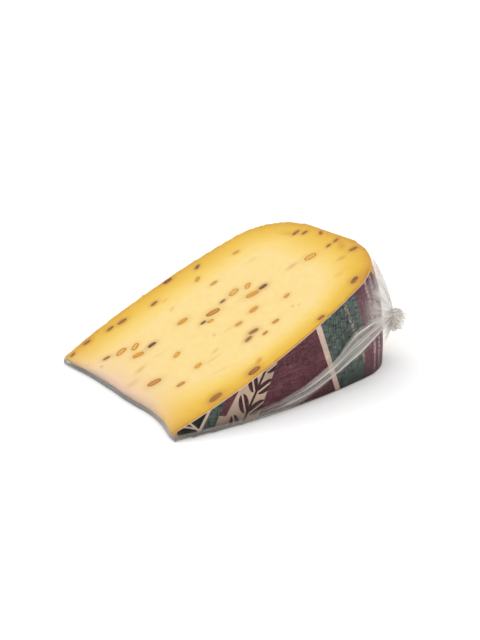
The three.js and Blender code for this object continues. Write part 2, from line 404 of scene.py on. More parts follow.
def half_outline(steps=16):
    """Half a section of the wheel, from its centre out to the rim, as (radius, half width)."""
    centre = (0, FACE_HALF_WIDTH - FACE_DISH)
    over_dish = (FULLEST_RADIUS / 2, FACE_HALF_WIDTH)
    fullest = (FULLEST_RADIUS, FACE_HALF_WIDTH)
    over_face = ((FULLEST_RADIUS + SHOULDER_RADIUS) / 2, FACE_HALF_WIDTH)
    shoulder = (SHOULDER_RADIUS, SHOULDER_HALF_WIDTH)
    onwards = (SHOULDER_RADIUS + ROUNDING_OUT, SHOULDER_HALF_WIDTH - ROUNDING_IN)
    over_rim = (WHEEL_RADIUS, RIM_HALF_WIDTH + ROUNDING_UP)
    rim = (WHEEL_RADIUS, RIM_HALF_WIDTH)
    dish = curve_points([centre, over_dish, fullest], steps)
    face = curve_points([fullest, over_face, shoulder], steps)
    fall = curve_points([shoulder, onwards, over_rim, rim], steps)
    return dish[:-1] + face[:-1] + fall


def grown(points, amount):
    """An outline moved outwards."""
    moved = []
    for i, point in enumerate(points):
        along = points[min(i + 1, len(points) - 1)] - points[max(i - 1, 0)]
        out = Vector((-along.y, along.x)).normalized() * amount
        moved.append(Vector((0 if i == 0 else point.x + out.x, point.y + out.y)))
    return moved


def cut_away(bm, place, facing, close=True):
    """Cuts off what lies beyond a plane."""
    geometry = [*bm.verts, *bm.edges, *bm.faces]
    cut = bmesh.ops.bisect_plane(
        bm, geom=geometry, plane_co=place, plane_no=facing, clear_outer=True, dist=1e-7
    )
    if close:
        rim = [e for e in cut["geom_cut"] if isinstance(e, bmesh.types.BMEdge)]
        bmesh.ops.holes_fill(bm, edges=rim, sides=0)


def spun(points, angle, steps, start=0):
    """A section of (radius, width) points spun about the wheel's axis."""
    bm = bmesh.new()
    verts = [bm.verts.new((p.x, p.y, 0)) for p in points]
    edges = [bm.edges.new(pair) for pair in zip(verts, verts[1:])]
    turn = Matrix.Rotation(start, 3, "Y")
    bmesh.ops.rotate(bm, verts=verts, cent=(0, 0, 0), matrix=turn)
    bmesh.ops.spin(
        bm,
        geom=[*verts, *edges],
        cent=(0, 0, 0),
        axis=(0, 1, 0),
        angle=angle,
        steps=steps,
        use_merge=math.isclose(angle, 2 * math.pi),
    )
    bmesh.ops.remove_doubles(bm, verts=bm.verts, dist=1e-6)
    bmesh.ops.recalc_face_normals(bm, faces=bm.faces)
    return bm


def slice_of_wheel(grow_back, grow_front, grow_cuts):
    """The closed slice between the two cuts, with its skin and its cut faces moved outwards."""
    back = grown(half_outline(), grow_back)
    front = [Vector((p.x, -p.y)) for p in grown(half_outline(), grow_front)]
    bm = spun([*front, *reversed(back)], 2 * math.pi, 240)
    cut_away(bm, CUT_FACING * grow_cuts, CUT_FACING)
    cut_away(bm, (0, 0, -AXIS_HEIGHT - grow_cuts), (0, 0, -1))
    cut_away(bm, (TIP_SET_BACK - grow_cuts, 0, 0), (-1, 0, 0))
    return bm


def worn_back(across):
    """How far the tip is worn back at a place across the wedge."""
    places, depths = zip(*TIP_HOLLOW)
    return float(np.interp(across / MM, places, depths)) * MM


def wear_tip(bm, grow, lift):
    """Curves the thin tip in between its corners and curls it up off the table."""
    floor = -AXIS_HEIGHT - grow
    slope = math.tan(WEDGE_ANGLE)
    for v in bm.verts:
        if v.co.x > TIP_LIFT_LENGTH:
            continue
        top = v.co.x * slope + grow / math.cos(WEDGE_ANGLE)
        share = min(max((v.co.z - floor) / max(top - floor, 1e-9), 0), 1)
        # The worn edge wavers a little, about every 11 mm.
        wobble = TIP_WOBBLE * noise.noise(Vector((v.co.y * 90, 7, 3)))
        hollow = worn_back(v.co.y) + wobble
        v.co.x += hollow * max(0, 1 - v.co.x / TIP_WEAR_LENGTH) ** 2
        top = v.co.x * slope + grow / math.cos(WEDGE_ANGLE)
        curl = lift * (1 - max(v.co.x, 0) / TIP_LIFT_LENGTH) ** 2
        v.co.z = floor + curl + share * (top - floor - curl)


def evenly_meshed(bm, name, voxel, rounds):
    """The same solid in an even mesh with its edges worn round, as a bmesh."""
    rough = mesh_piece(bm, name + "_rough", [])
    remesh = rough.modifiers.new("even mesh", "REMESH")
    remesh.mode = "VOXEL"
    remesh.voxel_size = voxel
    mesh = bpy.data.meshes.new_from_object(
        rough.evaluated_get(bpy.context.evaluated_depsgraph_get())
    )
    even = bmesh.new()
    even.from_mesh(mesh)
    bpy.data.objects.remove(rough)
    bpy.data.meshes.remove(mesh)
    for _ in range(rounds):
        bmesh.ops.smooth_vert(
            even, verts=even.verts, factor=0.5, use_axis_x=True, use_axis_y=True, use_axis_z=True
        )
    even.normal_update()
    return even


def to_section(points):
    """Distance of points (n, 3), in the wheel's frame, from the wheel's skin."""
    flat = np.stack([np.hypot(points[:, 0], points[:, 2]), np.abs(points[:, 1])], axis=1)
    outline = np.array([(p.x, p.y) for p in half_outline()] + [(WHEEL_RADIUS, 0)])
    start, run = outline[:-1], outline[1:] - outline[:-1]
    offset = flat[:, None] - start[None]
    share = np.clip((offset * run).sum(2) / (run * run).sum(1), 0, 1)
    return np.linalg.norm(offset - share[..., None] * run, axis=2).min(1)


def between(values, start, end):
    """How far numbers are on the way from a start to an end, from 0 to 1."""
    return np.clip((values - start) / (end - start), 0, 1)


def give(piece, name, values):
    """Stores one number for each vertex, for the piece's material."""
    attribute = piece.data.attributes.new(name, "FLOAT", "POINT")
    attribute.data.foreach_set("value", np.asarray(values, dtype=np.float32))


# Each seed: place along the cut from the wheel's axis in per cent of the wheel's radius,
# place across it in per cent of the half width, length in mm, heading in degrees, and look.
UPPER_SEEDS = [
    (93.5, 31, 4.2, 0, "brown"),
    (95, 22.5, 3.4, 0, "brown"),
    (97.5, 6.5, 3, 60, "brown"),
    (96.5, -17.5, 3.2, 15, "brown"),
    (93, -17, 3, 10, "brown"),
    (95.5, -43.5, 4, -20, "brown"),
    (85, -14, 6.3, -11, "amber"),
    (74, 64, 3.8, -5, "honey"),
    (60.5, 83, 3.8, 30, "dark"),
    (55.5, 65.5, 4.2, 40, "honey"),
    (57, 44, 4, 0, "honey"),
    (49, 93.5, 5, 0, "dark"),
    (37.5, 75, 4, 10, "brown"),
    (57, 13, 5.6, 14, "amber"),
    (62, 8, 4.4, 35, "amber"),
    (64.5, -7, 4.6, 0, "dark"),
    (59.5, -6.5, 6.5, -15, "honey"),
    (51.5, 12, 3.2, 5, "dark"),
    (65, -39, 3.6, 15, "honey"),
    (82.5, -79.5, 5, 20, "brown"),
    (45.5, 7, 7, -12, "tan"),
    (54, -26, 5, 5, "honey"),
    (36.5, 24, 5.5, 0, "honey"),
    (40, 3.5, 3, 0, "dark"),
    (42, -1, 3.2, -10, "amber"),
    (46, -29.5, 4, 0, "honey"),
    (53.5, -58, 3.6, -5, "tan"),
    (62.5, -91.5, 3.6, 0, "brown"),
    (46, -50.5, 4.6, -10, "brown"),
    (42.5, -54.5, 4, 10, "brown"),
    (47.5, -62, 3, 10, "tan"),
    (14, 42.5, 5.7, 10, "amber"),
    (18.5, 36, 5.1, 31, "amber"),
    (22.5, 23, 4.4, 0, "dark"),
    (16.5, 23, 5.6, -20, "honey"),
    (9, 48, 3.4, -10, "dark"),
    (24.5, 82, 5, 0, "brown"),
    (19.5, 84, 4, 10, "brown"),
    (10, 88, 4, 0, "brown"),
    (3, 85, 3, 20, "brown"),
    (24, -11, 3.8, 20, "amber"),
    (24.5, -41.5, 3.6, 10, "amber"),
    (11, -23.5, 6.3, -15, "tan"),
    (15.5, -47.5, 4, -10, "tan"),
    (33, -92, 6, 0, "brown"),
    (18, -88.5, 6, 0, "brown"),
]
LOWER_SEEDS = [
    (89.5, 27, 5.4, 20, "honey"),
    (83, -43, 4.6, -30, "brown"),
    (76, 71, 4, 5, "amber"),
    (70, 4, 6, -15, "tan"),
    (61, -67, 5, 10, "honey"),
    (56, 43, 4.4, 40, "dark"),
    (46.5, -16, 5.6, -5, "amber"),
    (37, 60, 4.8, 15, "brown"),
    (30.5, -60, 5.2, 0, "honey"),
    (22.5, 12, 4.4, -25, "tan"),
]
SEED_LOOKS = {
    "amber": ("#A86008", "#E0A428"),
    "honey": ("#B87A16", "#CC9020"),
    "tan": ("#A2601E", "#BC8236"),
    "brown": ("#743E16", "#9A6028"),
    "dark": ("#4E2412", "#824A26"),
}
SEED_WIDTH_SHARE = {"amber": 0.54, "honey": 0.5, "tan": 0.48, "brown": 0.44, "dark": 0.48}
SEED_THICKNESS_SHARE = 0.45
SEED_SINK = 0.15
SEED_PROUD = 0.05 * MM
# A seed is blunter than an egg, and a little lumpy.
SEED_BLUNT = 0.1
SEED_LUMP = 0.12
# The rings of a cut seed, from its coat inwards: width as a share of the seed's width, how far
# the ring sinks under the cut, and how much it shows of the kernel's colour.
SEED_RINGS = [(0.1, 0, 0.2), (0.1, 0.05 * MM, 0.75), (0.12, -0.05 * MM, 1)]

# The stain that a cut seed leaves round it: length and width as shares of the seed's length, and
# its strength.
HALO_LENGTH_SHARE = 1.6
HALO_WIDTH_SHARE = 1.1
HALO_STRENGTH = {"bruise": 0.6, "amber": 0.4}

# Seeds under the surface and small crumbs of them: place along and across the cut, length and
# width, all in mm, heading in degrees, strength, and which stain they leave.
MARKS = [
    (112, -21.6, 5, 2.4, -10, 0.45, "bruise"),
    (97.4, -4.2, 7, 2.6, 0, 0.4, "bruise"),
    (91.9, 18.8, 5, 2.4, 0, 0.18, "bruise"),
    (77.6, -27.4, 1.4, 1.2, 0, 0.8, "amber"),
    (79.5, -29.6, 1.2, 1, 0, 0.7, "amber"),
    (47.1, -10.3, 1.7, 1.1, 0, 0.7, "bruise"),
    (15.5, 1.7, 6, 3, 10, 0.45, "amber"),
    (8, -3, 8, 4, 0, 0.3, "amber"),
    (46.3, -42.2, 4.6, 2.5, 25, 0.85, "amber"),
    (40.7, -19.5, 4, 1.8, 10, 0.35, "bruise"),
    (48.6, 24.5, 4.5, 2, 30, 0.4, "amber"),
    (54.6, -13.6, 9, 1.3, -10, 0.35, "amber"),
    (36.1, -23, 9, 1.8, -10, 0.2, "bruise"),
    (6.7, 20.6, 1.4, 1.2, 0, 0.8, "bruise"),
    (3.5, 28, 2.4, 1.8, 0, 0.5, "amber"),
    (51, 33.7, 4, 2, 0, 0.45, "amber"),
    (26, 2, 6, 2.4, -20, 0.12, "bruise"),
    (34, -32, 9, 1.6, -20, 0.16, "bruise"),
    (88, -47, 6, 2.6, 0, 0.2, "amber"),
    (103, -29.6, 6, 3, 0, 0.3, "amber"),
    (70, 6, 9, 2.6, 0, 0.12, "bruise"),
    (119, -14, 9, 4, 60, 0.35, "bruise"),
    (115, 18, 10, 4, -70, 0.3, "bruise"),
]


def stain_strengths(flat):
    """How strongly each kind of stain shows at points (n, 2) of the upper cut, in metres."""
    strengths = {"amber": np.zeros(len(flat)), "bruise": np.zeros(len(flat))}
    marks = [
        (a * MM, b * MM, length * MM, width * MM, heading, power, kind)
        for a, b, length, width, heading, power, kind in MARKS
    ]
    for a, b, length, heading, look in UPPER_SEEDS:
        centre = (a / 100 * WHEEL_RADIUS, b / 100 * FACE_HALF_WIDTH)
        size = (length * HALO_LENGTH_SHARE * MM, length * HALO_WIDTH_SHARE * MM)
        kind = "bruise" if look in ("dark", "brown") else "amber"
        marks.append((*centre, *size, heading, HALO_STRENGTH[kind], kind))
    for along, across, length, width, heading, power, kind in marks:
        turn = math.radians(heading)
        offset = flat - (along, across)
        u = (offset[:, 0] * math.cos(turn) + offset[:, 1] * math.sin(turn)) / (length / 2)
        v = (offset[:, 1] * math.cos(turn) - offset[:, 0] * math.sin(turn)) / (width / 2)
        shows = power * np.exp(-1.2 * (u * u + v * v) ** 1.2)
        strengths[kind] = np.maximum(strengths[kind], shows)
    return strengths


# The rind is uneven, in waves about 18 mm long and ripples about 6 mm long. The cuts keep a
# small share of that.
RIND_WAVE = 0.35 * MM
RIND_RIPPLE = 0.08 * MM
CUT_SHARE = 0.12
# How much narrower the golden zone is under the label, how much paler its edge is there, and how
# much wider it is at the dry tip.
NARROWER_UNDER_LABEL = 0.75
PALER_UNDER_LABEL = 0.13
WIDER_AT_TIP = 0.36
TIP_STAIN = 0.95
TIP_STAIN_LENGTH = 6.5 * MM


def make_cheese():
    bm = slice_of_wheel(0, 0, 0)
    bm = evenly_meshed(bm, "cheese", CHEESE_MESH, 3)
    wear_tip(bm, 0, TIP_LIFT)
    bm.normal_update()
    for v in bm.verts:
        skin = 1 - max(abs(v.normal.dot(CUT_FACING)), abs(v.normal.z))
        wave = noise.noise(v.co * 55) * RIND_WAVE + noise.noise(v.co * 160) * RIND_RIPPLE
        v.co += v.normal * wave * min(1, CUT_SHARE + 2 * skin)
    places = np.array([v.co[:] for v in bm.verts])
    normals = np.array([v.normal[:] for v in bm.verts])
    bmesh.ops.transform(bm, matrix=PLACE, verts=bm.verts)
    piece = mesh_piece(bm, "cheese_wedge", [cheese_paste()], smooth=True)
    cut = np.maximum(normals @ np.array(CUT_FACING), -normals[:, 2])
    cut = np.maximum(cut, -normals[:, 0])
    flat = np.stack([places @ np.array(UP_THE_CUT), places[:, 1]], axis=1)
    upper = between(normals @ np.array(CUT_FACING), 0.8, 0.95)
    out, across = places[:, 0] / MM, places[:, 1] / MM
    # The paste dried less under the label, so the golden zone is narrower there.
    paper = between(across, -8, -33) * between(out, 0, 45) * between(out, 100, 75)
    paper *= NARROWER_UNDER_LABEL
    # The thin tip dried most, so its golden zone is wider.
    dried = between(out, 42, 0) * between(across, 12, -18)
    under_skin = to_section(places)
    depth = under_skin / GOLDEN_ZONE * (1 + paper - WIDER_AT_TIP * dried)
    give(piece, "depth", np.clip(depth + PALER_UNDER_LABEL * paper, 0, 1))
    give(piece, "skin", between(cut, 0.92, 0.8) * between(under_skin / MM, 2, 1))
    middle = np.clip(1 - (places[:, 1] / TIP_CORNER) ** 2, 0, 1)
    worn = np.array([worn_back(y) for y in places[:, 1]])
    fade = np.exp(-np.maximum(places[:, 0] - worn, 0) / TIP_STAIN_LENGTH)
    give(piece, "tip", TIP_STAIN * fade * middle)
    for kind, strength in stain_strengths(flat).items():
        give(piece, kind, strength * upper)
    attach(piece, "root")
    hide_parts("cheese")


def make_seeds():
    looks = {name: cut_seed(name, *colours) for name, colours in SEED_LOOKS.items()}
    seeds = [(*seed, True) for seed in UPPER_SEEDS] + [(*seed, False) for seed in LOWER_SEEDS]
    for i, (along, across, length, heading, look, upper) in enumerate(seeds):
        length = length * MM
        thickness = length * SEED_THICKNESS_SHARE
        width = length * SEED_WIDTH_SHARE[look]
        bm = bmesh.new()
        bmesh.ops.create_uvsphere(bm, u_segments=24, v_segments=12, radius=1)
        for v in bm.verts:
            blunt = 1 + SEED_BLUNT * math.sin(2 * math.atan2(v.co.y, v.co.x)) ** 2
            lump = 1 + SEED_LUMP * noise.noise(v.co * 1.3 + Vector((i * 3.1, 0, 0)))
            v.co.x *= length / 2 * blunt * lump
            v.co.y *= width / 2 * blunt * lump
            v.co.z *= thickness / 2
        sink = thickness * SEED_SINK
        cut_away(bm, (0, 0, sink + SEED_PROUD), (0, 0, 1))
        cap = max(bm.faces, key=lambda f: len(f.verts))
        kernel = bm.verts.layers.float.new("kernel")
        for share, sunk, shows in SEED_RINGS:
            bmesh.ops.inset_individual(bm, faces=[cap], thickness=width * share)
            for v in cap.verts:
                v[kernel] = shows
                v.co.z -= sunk
        bmesh.ops.recalc_face_normals(bm, faces=bm.faces)
        lay = Matrix.Rotation(math.radians(heading), 4, "Z")
        spot = Vector((along / 100 * WHEEL_RADIUS, across / 100 * FACE_HALF_WIDTH, -sink))
        lay = Matrix.Translation(spot) @ lay
        if upper:
            lay = Matrix.Rotation(-WEDGE_ANGLE, 4, "Y") @ lay
        else:
            lay = Matrix.Translation((0, 0, -AXIS_HEIGHT)) @ Matrix.Scale(-1, 4, (0, 0, 1)) @ lay
        bmesh.ops.transform(bm, matrix=PLACE @ lay, verts=bm.verts)
        bmesh.ops.recalc_face_normals(bm, faces=bm.faces)
        node = f"fenugreek_seed_{i + 1:02d}"
        piece = mesh_piece(bm, f"{node}_cut", [looks[look]], smooth=True)
        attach(piece, "root")
        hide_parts(node)


# ---------------------------------------------------------------- the label
# The print is laid out on the wheel's face in mm from its axis, as seen from the front.
PRINT_LINES = {
    "tip stroke": ((3.8, 2.7), (11.0, -1.4)),
    "tip stroke edge": ((3.4, 1.9), (10.6, -2.2)),
    "second stroke": ((6.5, 3.9), (10.5, -1.6)),
    "second stroke edge": ((5.8, 3.4), (9.8, -2.2)),
    "first bar": ((13.4, 4.8), (10.1, -2.0)),
    "first bar edge": ((14.6, 4.3), (11.3, -2.5)),
    "green corner": ((21.8, 8.8), (17.0, -2.2)),
    "triangle foot": ((19.4, 2.7), (23.0, 1.5)),
    "triangle side": ((27.1, 10.4), (22.2, 2.0)),
    "band end": ((45.1, 17.0), (36.8, -2.4)),
    "stripe": ((66.8, 26.8), (78.1, -1.8)),
    "stripe edge": ((69.4, 27.9), (80.8, -1.5)),
}
OUTER_BAND = 97.5 * MM
INKS = ["aubergine", "green", "bare", "black", "sprig", "outer"]
# The sprig, in mm: from one pair of leaves to the next, from the stem to a leaf's middle, and
# half the length and width of a leaf and half the width of its vein and of the stem.
PAIR_STEP = 9
LEAF_OUT = 3.4
LEAF_HALF_LENGTH = 4.4
LEAF_HALF_WIDTH = 2.3
VEIN_HALF_WIDTH = 0.4
STEM_HALF_WIDTH = 0.6
# The rows of dashes on the outer band, in mm: from row to row, half a row's height, and the
# middle and half the depth of the ring that they fill.
ROW_STEP = 3.4
ROW_HALF_HEIGHT = 0.75
ROWS_RADIUS = 110.5
ROWS_HALF_DEPTH = 8.2


def side_of(line, x, z):
    """Positive beyond a line of the print, towards the rim, and negative on the tip's side."""
    (ax, az), (bx, bz) = PRINT_LINES[line]
    return (x / MM - ax) * (az - bz) - (z / MM - az) * (ax - bx)


def ink_at(x, z):
    """Which ink covers a place of the label, as an index into INKS."""
    beyond = {line: side_of(line, x, z) > 0 for line in PRINT_LINES}
    if math.hypot(x, z) > OUTER_BAND:
        return INKS.index("outer")
    if beyond["stripe edge"]:
        return INKS.index("green")
    if beyond["stripe"]:
        return INKS.index("bare")
    if beyond["band end"]:
        return INKS.index("aubergine")
    if beyond["triangle side"] or (beyond["green corner"] and not beyond["triangle foot"]):
        return INKS.index("sprig")
    if beyond["green corner"]:
        return INKS.index("aubergine")
    if beyond["first bar edge"]:
        return INKS.index("green")
    if beyond["first bar"]:
        return INKS.index("bare")
    on_stroke = beyond["tip stroke edge"] != beyond["tip stroke"]
    on_second = beyond["second stroke edge"] != beyond["second stroke"]
    return INKS.index("bare" if on_stroke or on_second else "black")


def paper_fibres(tree, place):
    """Short crossing fibres about 0.3 mm thick, from 0 to 1."""
    total = None
    for scale in ((0.25, 1, 1.7), (1.9, 1, 0.3)):
        stretched = add(tree, "ShaderNodeMapping", {"Vector": place, "Scale": scale})
        fibres = add(
            tree,
            "ShaderNodeTexNoise",
            {"Vector": stretched, "Scale": 1.1, "Detail": 5, "Roughness": 0.65},
        )
        if total is None:
            total = fibres
        else:
            total = add(tree, "ShaderNodeMath", {0: total, 1: fibres}, operation="ADD")
    return add(
        tree, "ShaderNodeMapRange", {"Value": total, "From Min": 0.82, "From Max": 1.24}
    )


def printed_paper(name, ink, pale_ink, wet_and_shaded_ink, drawing=None, drawn="#C9B39C"):
    # Uncoated label paper, offset printed and then pressed damp on the rind: matt ink that
    # lets the fibres show as paler flecks.
    material, tree = new_material(f"offset_printed_paper_{name}")
    place = wheel_millimetres(tree)
    fibres = paper_fibres(tree, place)
    colour = add(
        tree,
        "ShaderNodeMix",
        {0: fibres, 6: linear(ink), 7: linear(pale_ink)},
        out=2,
        data_type="RGBA",
    )
    if drawing:
        colour = add(
            tree,
            "ShaderNodeMix",
            {0: drawing(tree, place), 6: colour, 7: linear(drawn)},
            out=2,
            data_type="RGBA",
        )
    # Damp patches of about a centimetre dull and darken the ink a little.
    damp_and_painted_shade = add(tree, "ShaderNodeTexNoise", {"Vector": place, "Scale": 0.12, "Detail": 2})
    damp_and_painted_shade = add(
        tree,
        "ShaderNodeMapRange",
        {"Value": damp_and_painted_shade, "From Min": 0.4, "From Max": 0.65, "To Min": 0, "To Max": 0.3},
    )
    # Painted shade: the ink also darkens over about a centimetre up from the lower cut, in place of
    # the shade near the table.
    height = add(tree, "ShaderNodeSeparateXYZ", {"Vector": place}, out="Z")
    painted_foot_shade = add(
        tree,
        "ShaderNodeMapRange",
        {"Value": height, "From Min": 9, "From Max": -3, "To Min": 0, "To Max": 0.85},
    )
    damp_and_painted_shade = add(tree, "ShaderNodeMath", {0: damp_and_painted_shade, 1: painted_foot_shade}, operation="MAXIMUM")
    colour = add(
        tree,
        "ShaderNodeMix",
        {0: damp_and_painted_shade, 6: colour, 7: linear(wet_and_shaded_ink)},
        out=2,
        data_type="RGBA",
    )
    surface = add(
        tree,
        "ShaderNodeBsdfPrincipled",
        {
            "Base Color": colour,
            "Roughness": add(
                tree, "ShaderNodeMapRange", {"Value": fibres, "To Min": 0.5, "To Max": 0.75}
            ),
            "Specular IOR Level": 0.15,
            "Normal": add(
                tree, "ShaderNodeBump", {"Height": fibres, "Strength": 0.35, "Distance": 0.1 * MM}
            ),
        },
    )
    add(tree, "ShaderNodeOutputMaterial", {"Surface": surface})
    return material


def leaf_sprig(tree, place):
    """A sprig of paired leaves up the band, where 1 is bare paper and 0 is the leaves' ink."""
    turned = add(
        tree,
        "ShaderNodeMapping",
        {"Vector": place, "Rotation": (0, math.radians(62), 0), "Location": (-14.5, 0, 27.4)},
    )
    parts = add(tree, "ShaderNodeSeparateXYZ", {"Vector": turned}).node.outputs
    step = add(tree, "ShaderNodeMath", {0: parts[0], 1: PAIR_STEP}, operation="FLOORED_MODULO")
    step = add(tree, "ShaderNodeMath", {0: step, 1: PAIR_STEP / 2}, operation="SUBTRACT")
    across = add(tree, "ShaderNodeMath", {0: parts[2]}, operation="ABSOLUTE")
    folded = add(tree, "ShaderNodeCombineXYZ", {0: step, 2: across})
    leaf = add(tree, "ShaderNodeMapping", {"Vector": folded, "Location": (0, 0, -LEAF_OUT)})
    leaf = add(tree, "ShaderNodeMapping", {"Vector": leaf, "Rotation": (0, math.radians(38), 0)})
    sides = add(tree, "ShaderNodeSeparateXYZ", {"Vector": leaf}).node.outputs
    sized = add(
        tree,
        "ShaderNodeVectorMath",
        {0: leaf, 1: (1 / LEAF_HALF_LENGTH, 0, 1 / LEAF_HALF_WIDTH)},
        operation="MULTIPLY",
    )
    reach = add(tree, "ShaderNodeVectorMath", {0: sized}, operation="LENGTH", out="Value")
    inside = add(tree, "ShaderNodeMath", {0: reach, 1: 1}, operation="LESS_THAN")
    vein = add(tree, "ShaderNodeMath", {0: sides[2]}, operation="ABSOLUTE")
    vein = add(tree, "ShaderNodeMath", {0: vein, 1: VEIN_HALF_WIDTH}, operation="GREATER_THAN")
    inside = add(tree, "ShaderNodeMath", {0: inside, 1: vein}, operation="MULTIPLY")
    stem = add(tree, "ShaderNodeMath", {0: across, 1: STEM_HALF_WIDTH}, operation="LESS_THAN")
    drawn = add(tree, "ShaderNodeMath", {0: inside, 1: stem}, operation="MAXIMUM")
    return add(tree, "ShaderNodeMath", {0: 1, 1: drawn}, operation="SUBTRACT")


def ruled_arcs(tree, place):
    """Rows of short pale dashes that follow the rim."""
    parts = add(tree, "ShaderNodeSeparateXYZ", {"Vector": place}).node.outputs
    flat = add(tree, "ShaderNodeCombineXYZ", {0: parts[0], 2: parts[2]})
    radius = add(tree, "ShaderNodeVectorMath", {0: flat}, operation="LENGTH", out="Value")
    # Past the shoulder the rows go on down towards the rim's middle.
    down = add(tree, "ShaderNodeMath", {0: parts[1], 1: -0.45, 2: radius}, operation="MULTIPLY_ADD")
    row = add(tree, "ShaderNodeMath", {0: down, 1: ROW_STEP}, operation="FLOORED_MODULO")
    row = add(
        tree,
        "ShaderNodeMath",
        {0: row, 1: ROW_STEP / 2, 2: ROW_HALF_HEIGHT},
        operation="COMPARE",
    )
    rank = add(tree, "ShaderNodeMath", {0: down, 1: ROW_STEP}, operation="DIVIDE")
    rank = add(tree, "ShaderNodeMath", {0: rank}, operation="FLOOR")
    turn = add(tree, "ShaderNodeMath", {0: parts[2], 1: parts[0]}, operation="ARCTAN2")
    along = add(tree, "ShaderNodeMath", {0: turn, 1: 95}, operation="MULTIPLY")
    spot = add(tree, "ShaderNodeCombineXYZ", {0: along, 1: rank, 2: down})
    dashes = add(tree, "ShaderNodeTexNoise", {"Vector": spot, "Scale": 1.6, "Detail": 3})
    dashes = add(tree, "ShaderNodeMath", {0: dashes, 1: 0.49}, operation="GREATER_THAN")
    inner = add(
        tree,
        "ShaderNodeMath",
        {0: radius, 1: ROWS_RADIUS, 2: ROWS_HALF_DEPTH},
        operation="COMPARE",
    )
    row = add(tree, "ShaderNodeMath", {0: row, 1: inner}, operation="MULTIPLY")
    dashes = add(tree, "ShaderNodeMath", {0: row, 1: dashes}, operation="MULTIPLY")
    return add(tree, "ShaderNodeMath", {0: dashes, 1: 0.75}, operation="MULTIPLY")


def small_row(tree, place):
    """One row of small pale dashes down the green panel."""
    turned = add(
        tree,
        "ShaderNodeMapping",
        {"Vector": place, "Rotation": (0, math.radians(-64), 0), "Location": (-14, 0, -89.5)},
    )
    parts = add(tree, "ShaderNodeSeparateXYZ", {"Vector": turned}).node.outputs
    row = add(tree, "ShaderNodeMath", {0: parts[2], 1: 0, 2: 0.9}, operation="COMPARE")
    dashes = add(
        tree, "ShaderNodeTexNoise", {"Vector": turned, "Scale": 1.2, "Detail": 2}
    )
    dashes = add(tree, "ShaderNodeMath", {0: dashes, 1: 0.52}, operation="GREATER_THAN")
    dashes = add(tree, "ShaderNodeMath", {0: row, 1: dashes}, operation="MULTIPLY")
    return add(tree, "ShaderNodeMath", {0: dashes, 1: 0.7}, operation="MULTIPLY")


def make_label():
    outline = [p for p in half_outline() if p.x < LABEL_RADIUS]
    outline.append(Vector((LABEL_RADIUS, LABEL_RIM_HALF_WIDTH)))
    front = [Vector((p.x, -p.y)) for p in grown(outline, LABEL_GAP)]
    bm = spun(front, LABEL_TURN, 100, start=-WEDGE_ANGLE)
    cut_away(bm, CUT_FACING * 0.02 * MM, CUT_FACING, close=False)
    cut_away(bm, (0, 0, -AXIS_HEIGHT), (0, 0, -1), close=False)
    cut_away(bm, (LABEL_TIP, 0, 0), (-1, 0, 0), close=False)
    # The corner at the rim is torn off.
    cut_away(bm, LABEL_TEAR, LABEL_TEAR_FACING, close=False)
    for (ax, az), (bx, bz) in PRINT_LINES.values():
        bmesh.ops.bisect_plane(
            bm,
            geom=[*bm.verts, *bm.edges, *bm.faces],
            plane_co=(ax * MM, 0, az * MM),
            plane_no=(az - bz, 0, bx - ax),
            dist=1e-6,
        )
    for face in bm.faces:
        middle = face.calc_center_median()
        face.material_index = ink_at(middle.x, middle.z)
    wear_tip(bm, 0, LABEL_TIP_LIFT)
    if sum(f.normal.y for f in bm.faces) > 0:
        bmesh.ops.reverse_faces(bm, faces=bm.faces)
    bmesh.ops.transform(bm, matrix=PLACE, verts=bm.verts)
    papers = [
        printed_paper("aubergine", "#41181F", "#764650", "#300E14"),
        printed_paper("green", "#15231F", "#76827A", "#0A1410", small_row),
        printed_paper("unprinted", "#C2A99A", "#DCC5B4", "#9C8470"),
        printed_paper("black", "#060908", "#20282A", "#030505"),
        printed_paper("sprig", "#2C1014", "#46242A", "#2A1418", leaf_sprig, "#C2A892"),
        printed_paper("rim_band", "#4A202A", "#88606A", "#321018", ruled_arcs, "#D2AEB0"),
        printed_paper("edge", "#D9C0A8", "#E8D6C2", "#B89C80"),
    ]
    piece = mesh_piece(bm, "printed_label", papers, smooth=True)
    solid = piece.modifiers.new("paper thickness", "SOLIDIFY")
    solid.thickness = PAPER_THICKNESS
    solid.offset = 1
    solid.material_offset_rim = len(papers)
    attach(piece, "root")
    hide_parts("label")


# ---------------------------------------------------------------- the film
TUFT_TURN = math.radians(36)
TUFT_ANGLE = math.radians(9)
TUFT_RADIUS = 117.2 * MM
TUFT_ACROSS = -35 * MM
TUFT_DROOP = 0.62
NECK_RADIUS = 1.9 * MM
ROOT = Vector(
    (
        TUFT_RADIUS * math.cos(TUFT_ANGLE),
        TUFT_ACROSS,
        TUFT_RADIUS * math.sin(TUFT_ANGLE),
    )
)
PULL = Vector(
    (
        math.cos(TUFT_TURN) * math.cos(TUFT_ANGLE),
        -math.sin(TUFT_TURN),
        math.cos(TUFT_TURN) * math.sin(TUFT_ANGLE),
    )
)
TENT_REACH_UP = 31 * MM
TENT_REACH_DOWN = 13 * MM
TENT_HEIGHT = 4.6 * MM
TENT_FOLDS = 12
TENT_FOLD_HEIGHT = 0.8 * MM
FILM_WAVE = 0.12 * MM
TIP_HIGHLIGHT_WIDTH = 0.8 * MM
TABLE_CLEARANCE = 0.05 * MM
# The tuft's ragged layers: length, flare, number of folds, and where in the folds it starts.
RUFFLES = [
    (6.8 * MM, 2 * MM, 9, 0.4),
    (7.6 * MM, 1.1 * MM, 7, 2.1),
    (5.2 * MM, 2.6 * MM, 11, 4.4),
]
# The gathered band over the label: its upper and lower side from the tuft to the far end, as
# places in mm on the wheel's face.
BAND_TOP = [
    (102, 32),
    (96.5, 25.4),
    (87.4, 20.8),
    (77.6, 13.6),
    (68.4, 9.6),
    (59, 5.8),
    (46.4, 2.8),
    (24, 1),
]
BAND_FOOT = [
    (107, 8),
    (97, 9),
    (87, 7.6),
    (77, 4.5),
    (67.5, 1),
    (59, -1.2),
    (47, -2.5),
    (25, -2.6),
]


